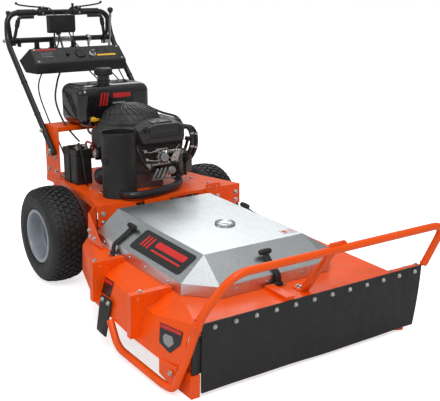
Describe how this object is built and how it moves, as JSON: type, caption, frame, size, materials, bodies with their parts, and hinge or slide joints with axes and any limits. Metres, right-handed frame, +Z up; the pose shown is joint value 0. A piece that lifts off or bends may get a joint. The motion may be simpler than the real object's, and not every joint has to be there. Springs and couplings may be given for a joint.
{
  "type": "walk-behind brush mower",
  "caption": "Walk-behind brush mower with a front cutting deck, belt cover, guard tubes, twin-cylinder engine, pneumatic tyres and a handlebar with controls.",
  "frame": {"origin": "on the ground, below the middle of the bounding box in length and width", "axes": "+Z up, +Y from the cutting deck towards the handlebar, +X to the machine's left-hand side"},
  "size_m": [1.069, 2.0866, 1.146],
  "materials": {
    "orange_paint": "glossy orange-red powder coat",
    "black_paint": "satin black powder coat",
    "black_plastic": "satin moulded plastic",
    "rubber": "matt flat sheet rubber",
    "silver_cover": "brushed bright sheet",
    "steel": "machined steel",
    "cast_iron": "cast, lightly oiled",
    "aluminium": "die-cast aluminium",
    "tyre": "black turf tyre",
    "rim_paint": "silver-grey enamel",
    "engine_plastic": "grained dark grey engine plastic",
    "shield_paint": "dark heat-resistant paint",
    "tank_plastic": "gloss black moulded plastic",
    "yellow_plastic": "yellow moulded plastic",
    "zinc": "yellowish zinc plate"
  },
  "bodies": {
    "chassis": {"air_filter_cover": "engine_plastic", "battery": "black_plastic", "belt_cover": "silver_cover", "blower_dome": "engine_plastic", "blower_housing": "engine_plastic", "brake_clamp_left": "black_paint", "brake_clamp_right": "black_paint", "bumper_strut": "orange_paint", "chassis_frame": "orange_paint", "control_box": "black_plastic", "control_console": "black_paint", "cover_cap": "silver_cover", "crankcase": "aluminium", "crossbar": "black_paint", "cylinder_front": "aluminium", "cylinder_rear": "aluminium", "deck_shell": "orange_paint", "drive_belt": "rubber", "exhaust_pipe": "black_paint", "flap_bolt_strip": "rubber", "front_bumper": "orange_paint", "fuel_tank": "tank_plastic", "handlebar": "black_paint", "hanger_plate_left": "orange_paint", "hanger_plate_right": "orange_paint", "muffler": "cast_iron", "muffler_heat_shield": "shield_paint", "oil_filter": "black_paint", "rear_tower": "orange_paint", "side_flap": "rubber", "side_guard": "orange_paint", "skid_foot_left": "orange_paint", "skid_foot_right": "orange_paint", "spindle_housing": "cast_iron", "transaxle": "aluminium"},
    "wheel_right": {"tyre_right": "tyre", "wheel_rim_right": "rim_paint"},
    "wheel_left": {"tyre_left": "tyre", "wheel_rim_left": "rim_paint"},
    "spindle": {"spindle_shaft": "steel", "blade": "steel"},
    "crank": {"crankshaft": "steel", "flywheel_fan": "aluminium"},
    "idler_arm": {"idler_arm": "steel"},
    "idler_pulley": {"idler_pulley": "cast_iron"},
    "blade_lever": {"blade_lever": "zinc"},
    "shift_lever": {"shift_lever": "black_plastic"},
    "grip_lever_right": {"grip_lever_right": "black_paint"},
    "grip_lever_left": {"grip_lever_left": "black_paint"},
    "brake_lever_right": {"brake_lever_right": "black_paint"},
    "brake_lever_left": {"brake_lever_left": "black_paint"},
    "throttle_lever": {"throttle_lever": "black_plastic"},
    "ignition_key": {"ignition_key": "steel"},
    "fuel_tank_cap": {"fuel_tank_cap": "black_plastic"},
    "fuel_tap": {"fuel_tap": "yellow_plastic"},
    "air_filter_knob": {"air_filter_knob": "black_plastic"},
    "latch_right": {"latch_right": "rubber"},
    "latch_left": {"latch_left": "rubber"},
    "latch_front": {"latch_front": "rubber"},
    "front_flap": {"front_flap": "rubber"}
  },
  "joints": [
    {"name": "wheel_right_spin", "type": "hinge", "parent": "chassis", "child": "wheel_right", "pos_m": [-0.35447, 0.31033, 0.203], "axis": [1, 0, 0], "continuous": true},
    {"name": "wheel_left_spin", "type": "hinge", "parent": "chassis", "child": "wheel_left", "pos_m": [0.41153, 0.31033, 0.203], "axis": [1, 0, 0], "continuous": true},
    {"name": "spindle_spin", "type": "hinge", "parent": "chassis", "child": "spindle", "pos_m": [-0.02947, -0.48965, 0.26509], "axis": [0, -0.0513, 0.9987], "continuous": true},
    {"name": "engine_spin", "type": "hinge", "parent": "chassis", "child": "crank", "pos_m": [-0.00147, 0.24733, 0.45], "axis": [0, 0, 1], "continuous": true},
    {"name": "blade_lever_swing", "type": "hinge", "parent": "chassis", "child": "blade_lever", "pos_m": [0.27953, 0.96733, 0.95], "axis": [1, 0, 0], "range_deg": [0, 30]},
    {"name": "idler_arm_swing", "type": "hinge", "parent": "chassis", "child": "idler_arm", "pos_m": [0.17853, -0.27747, 0.30602], "axis": [0, -0.0513, 0.9987], "range_deg": [0, 12]},
    {"name": "idler_spin", "type": "hinge", "parent": "idler_arm", "child": "idler_pulley", "pos_m": [0.11053, -0.16895, 0.33763], "axis": [0, -0.0513, 0.9987], "continuous": true},
    {"name": "shift_lever_swing", "type": "hinge", "parent": "chassis", "child": "shift_lever", "pos_m": [-0.21647, 1.03033, 0.99], "axis": [-1, 0, 0], "range_deg": [0, 20], "stiffness_Nm_per_rad": 1},
    {"name": "grip_lever_right_squeeze", "type": "hinge", "parent": "chassis", "child": "grip_lever_right", "pos_m": [-0.20747, 0.99033, 0.969], "axis": [-1, 0, 0], "range_deg": [0, 5], "stiffness_Nm_per_rad": 2},
    {"name": "grip_lever_left_squeeze", "type": "hinge", "parent": "chassis", "child": "grip_lever_left", "pos_m": [0.26453, 0.99033, 0.969], "axis": [-1, 0, 0], "range_deg": [0, 5], "stiffness_Nm_per_rad": 2},
    {"name": "brake_lever_right_squeeze", "type": "hinge", "parent": "chassis", "child": "brake_lever_right", "pos_m": [-0.05947, 1.00133, 1.122], "axis": [0, -1, 0], "range_deg": [0, 8], "stiffness_Nm_per_rad": 2},
    {"name": "brake_lever_left_squeeze", "type": "hinge", "parent": "chassis", "child": "brake_lever_left", "pos_m": [0.13253, 1.00133, 1.122], "axis": [0, 1, 0], "range_deg": [0, 8], "stiffness_Nm_per_rad": 2},
    {"name": "throttle_swing", "type": "hinge", "parent": "chassis", "child": "throttle_lever", "pos_m": [0.10453, 1.00133, 1.098], "axis": [1, 0, 0], "range_deg": [-25, 25], "stiffness_Nm_per_rad": 0.3},
    {"name": "ignition_key_turn", "type": "hinge", "parent": "chassis", "child": "ignition_key", "pos_m": [0.09853, 0.79233, 0.907], "axis": [0, -0.6753, 0.7376], "range_deg": [0, 90]},
    {"name": "fuel_cap_turn", "type": "hinge", "parent": "chassis", "child": "fuel_tank_cap", "pos_m": [-0.00747, 0.47533, 0.85], "axis": [0, 0, 1], "range_deg": [0, 90]},
    {"name": "fuel_tap_turn", "type": "hinge", "parent": "chassis", "child": "fuel_tap", "pos_m": [-0.09947, 0.40233, 0.653], "axis": [0, 1, 0], "range_deg": [0, 90]},
    {"name": "air_filter_knob_turn", "type": "hinge", "parent": "chassis", "child": "air_filter_knob", "pos_m": [-0.03747, 0.04933, 0.652], "axis": [0, 1, 0], "range_deg": [0, 90]},
    {"name": "latch_right_open", "type": "hinge", "parent": "chassis", "child": "latch_right", "pos_m": [-0.39147, -0.31135, 0.28326], "axis": [0, -0.9987, -0.0513], "range_deg": [0, 75]},
    {"name": "latch_left_open", "type": "hinge", "parent": "chassis", "child": "latch_left", "pos_m": [0.26853, -0.31135, 0.28326], "axis": [0, 0.9987, 0.0513], "range_deg": [0, 75]},
    {"name": "latch_front_open", "type": "hinge", "parent": "chassis", "child": "latch_front", "pos_m": [-0.06347, -0.84964, 0.25562], "axis": [1, 0, 0], "range_deg": [0, 75]},
    {"name": "front_flap_swing", "type": "hinge", "parent": "chassis", "child": "front_flap", "pos_m": [0.02853, -0.96156, 0.22184], "axis": [-1, 0, 0], "range_deg": [0, 60]}
  ],
  "couplings": [
    {"joint": "engine_spin", "follows": "spindle_spin", "ratio": 1.5},
    {"joint": "idler_spin", "follows": "spindle_spin", "ratio": -3},
    {"joint": "idler_arm_swing", "follows": "blade_lever_swing", "ratio": 0.35}
  ]
}
